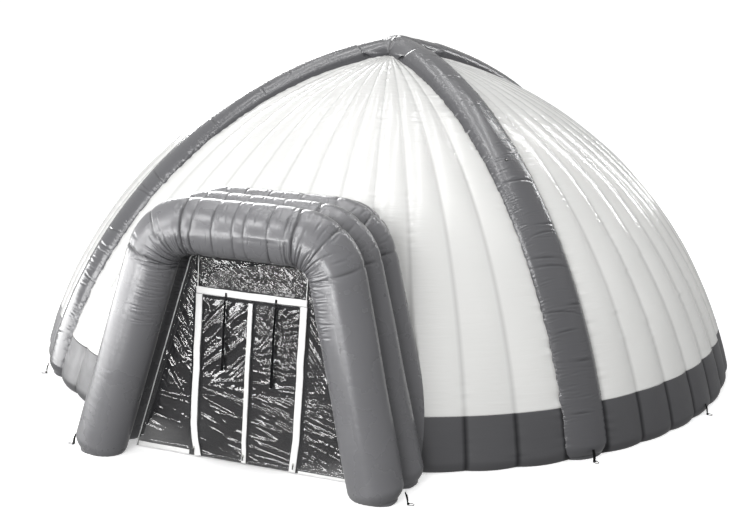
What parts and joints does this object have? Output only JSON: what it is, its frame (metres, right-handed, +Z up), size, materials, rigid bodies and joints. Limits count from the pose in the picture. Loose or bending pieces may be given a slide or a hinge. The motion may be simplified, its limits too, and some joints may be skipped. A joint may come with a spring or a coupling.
{
  "type": "inflatable dome tent",
  "caption": "Inflatable dome tent with crossing air beams, white ribbed gores, grey base bands and an arched entrance tunnel with a zipped clear-film door.",
  "frame": {"origin": "centre of the dome on the ground, which is also the middle of the footprint's box", "axes": "+Z up; -Y out of the entrance tunnel; +X to the right seen from in front of the door"},
  "size_m": [10.394, 11.73, 4.6909],
  "materials": {
    "beam_pvc": "glossy coated fabric",
    "arch_pvc": "glossy coated fabric",
    "gore_pvc": "glossy coated fabric",
    "liner_pvc": "satin coated fabric",
    "band_pvc": "glossy coated fabric",
    "clear_film": "clear creased film",
    "white_tape": "satin coated tape",
    "black_webbing": "woven webbing",
    "zip_metal": "satin",
    "ring_steel": "satin",
    "valve_black": "moulded",
    "valve_light": "moulded"
  },
  "bodies": {
    "root": {"anchor_tab_beam_front_left": "black_webbing", "anchor_tab_beam_front_right": "black_webbing", "anchor_tab_beam_rear_left": "black_webbing", "anchor_tab_beam_rear_right": "black_webbing", "anchor_tab_side_left": "black_webbing", "anchor_tab_side_right": "black_webbing", "anchor_tab_tunnel_left": "black_webbing", "anchor_tab_tunnel_right": "black_webbing", "base_band_front_left": "band_pvc", "base_band_front_right": "band_pvc", "base_band_left": "band_pvc", "base_band_rear": "band_pvc", "base_band_right": "band_pvc", "beam_front_left": "beam_pvc", "beam_front_right": "beam_pvc", "beam_rear_left": "beam_pvc", "beam_rear_right": "beam_pvc", "crown_cross": "beam_pvc", "door_tape_left": "white_tape", "door_tape_right": "white_tape", "door_tape_top": "white_tape", "film_piping": "white_tape", "film_surround": "clear_film", "gore_front": "gore_pvc", "gore_left": "gore_pvc", "gore_rear": "gore_pvc", "gore_right": "gore_pvc", "ground_hem_left": "white_tape", "ground_hem_right": "white_tape", "inflation_sleeve": "band_pvc", "liner_front": "liner_pvc", "liner_left": "liner_pvc", "liner_rear": "liner_pvc", "liner_right": "liner_pvc", "relief_valve_body": "valve_black", "tunnel_arch_1": "arch_pvc", "tunnel_arch_2": "arch_pvc", "tunnel_arch_3": "arch_pvc", "tunnel_arch_4": "arch_pvc"},
    "door_leaf_left": {"door_leaf_left": "clear_film", "zip_flap_centre": "white_tape"},
    "door_leaf_right": {"door_leaf_right": "clear_film"},
    "roll_up_strap_left": {"roll_up_strap_left": "black_webbing"},
    "roll_up_strap_right": {"roll_up_strap_right": "black_webbing"},
    "zip_slider_left": {"zip_slider_left": "zip_metal"},
    "zip_pull_left": {"zip_pull_left": "black_webbing"},
    "zip_slider_centre": {"zip_slider_centre": "zip_metal"},
    "zip_pull_centre": {"zip_pull_centre": "black_webbing"},
    "zip_slider_right": {"zip_slider_right": "zip_metal"},
    "zip_pull_right": {"zip_pull_right": "black_webbing"},
    "anchor_ring_beam_front_left": {"anchor_ring_beam_front_left": "ring_steel"},
    "anchor_ring_beam_front_right": {"anchor_ring_beam_front_right": "ring_steel"},
    "anchor_ring_beam_rear_right": {"anchor_ring_beam_rear_right": "ring_steel"},
    "anchor_ring_beam_rear_left": {"anchor_ring_beam_rear_left": "ring_steel"},
    "anchor_ring_side_right": {"anchor_ring_side_right": "ring_steel"},
    "anchor_ring_side_left": {"anchor_ring_side_left": "ring_steel"},
    "anchor_ring_tunnel_left": {"anchor_ring_tunnel_left": "ring_steel"},
    "anchor_ring_tunnel_right": {"anchor_ring_tunnel_right": "ring_steel"},
    "relief_valve_poppet": {"relief_valve_poppet": "valve_light"}
  },
  "joints": [
    {"name": "door_leaf_left_swing", "type": "hinge", "parent": "root", "child": "door_leaf_left", "pos_m": [0, -5.12807, 1.97973], "axis": [1, 0, 0], "range_deg": [-75, 65]},
    {"name": "door_leaf_right_swing", "type": "hinge", "parent": "root", "child": "door_leaf_right", "pos_m": [0, -5.12807, 1.97973], "axis": [1, 0, 0], "range_deg": [-75, 65]},
    {"name": "roll_up_strap_left_swing", "type": "hinge", "parent": "door_leaf_left", "child": "roll_up_strap_left", "pos_m": [-0.318, -5.14008, 1.94577], "axis": [1, 0, 0], "range_deg": [-35, 0]},
    {"name": "roll_up_strap_right_swing", "type": "hinge", "parent": "door_leaf_right", "child": "roll_up_strap_right", "pos_m": [0.322, -5.14008, 1.94577], "axis": [1, 0, 0], "range_deg": [-35, 0]},
    {"name": "zip_slider_left_travel", "type": "slide", "parent": "root", "child": "zip_slider_left", "axis": [0, 0.1015, 0.9948], "range_m": [0, 1.8]},
    {"name": "zip_pull_left_swing", "type": "hinge", "parent": "zip_slider_left", "child": "zip_pull_left", "pos_m": [-0.645, -5.34739, 0.11033], "axis": [1, 0, 0], "range_deg": [-90, 5]},
    {"name": "zip_slider_centre_travel", "type": "slide", "parent": "door_leaf_left", "child": "zip_slider_centre", "axis": [0, 0.1015, 0.9948], "range_m": [0, 1.8]},
    {"name": "zip_pull_centre_swing", "type": "hinge", "parent": "zip_slider_centre", "child": "zip_pull_centre", "pos_m": [0, -5.34739, 0.11033], "axis": [1, 0, 0], "range_deg": [-90, 5]},
    {"name": "zip_slider_right_travel", "type": "slide", "parent": "root", "child": "zip_slider_right", "axis": [0, 0.1015, 0.9948], "range_m": [0, 1.8]},
    {"name": "zip_pull_right_swing", "type": "hinge", "parent": "zip_slider_right", "child": "zip_pull_right", "pos_m": [0.645, -5.34739, 0.11033], "axis": [1, 0, 0], "range_deg": [-90, 5]},
    {"name": "anchor_ring_beam_front_left_swing", "type": "hinge", "parent": "root", "child": "anchor_ring_beam_front_left", "pos_m": [-3.8884, -3.56306, 0.012], "axis": [-0.6756, 0.7373, 0], "range_deg": [-5, 90]},
    {"name": "anchor_ring_beam_front_right_swing", "type": "hinge", "parent": "root", "child": "anchor_ring_beam_front_right", "pos_m": [3.8884, -3.56306, 0.012], "axis": [-0.6756, -0.7373, 0], "range_deg": [-5, 90]},
    {"name": "anchor_ring_beam_rear_right_swing", "type": "hinge", "parent": "root", "child": "anchor_ring_beam_rear_right", "pos_m": [3.02504, 4.32021, 0.012], "axis": [0.8192, -0.5736, 0], "range_deg": [-5, 90]},
    {"name": "anchor_ring_beam_rear_left_swing", "type": "hinge", "parent": "root", "child": "anchor_ring_beam_rear_left", "pos_m": [-3.02504, 4.32021, 0.012], "axis": [0.8192, 0.5736, 0], "range_deg": [-5, 90]},
    {"name": "anchor_ring_side_right_swing", "type": "hinge", "parent": "root", "child": "anchor_ring_side_right", "pos_m": [5.03537, -1.34922, 0.012], "axis": [-0.2588, -0.9659, 0], "range_deg": [-5, 90]},
    {"name": "anchor_ring_side_left_swing", "type": "hinge", "parent": "root", "child": "anchor_ring_side_left", "pos_m": [-5.03537, -1.34922, 0.012], "axis": [-0.2588, 0.9659, 0], "range_deg": [-5, 90]},
    {"name": "anchor_ring_tunnel_left_swing", "type": "hinge", "parent": "root", "child": "anchor_ring_tunnel_left", "pos_m": [-2.15509, -5.595, 0.012], "axis": [0, 1, 0], "range_deg": [-5, 90]},
    {"name": "anchor_ring_tunnel_right_swing", "type": "hinge", "parent": "root", "child": "anchor_ring_tunnel_right", "pos_m": [2.15509, -5.595, 0.012], "axis": [0, -1, 0], "range_deg": [-5, 90]},
    {"name": "relief_valve_lift", "type": "slide", "parent": "root", "child": "relief_valve_poppet", "axis": [0.4629, -0.4242, 0.7783], "range_m": [0, 0.008], "stiffness_N_per_m": 300}
  ]
}
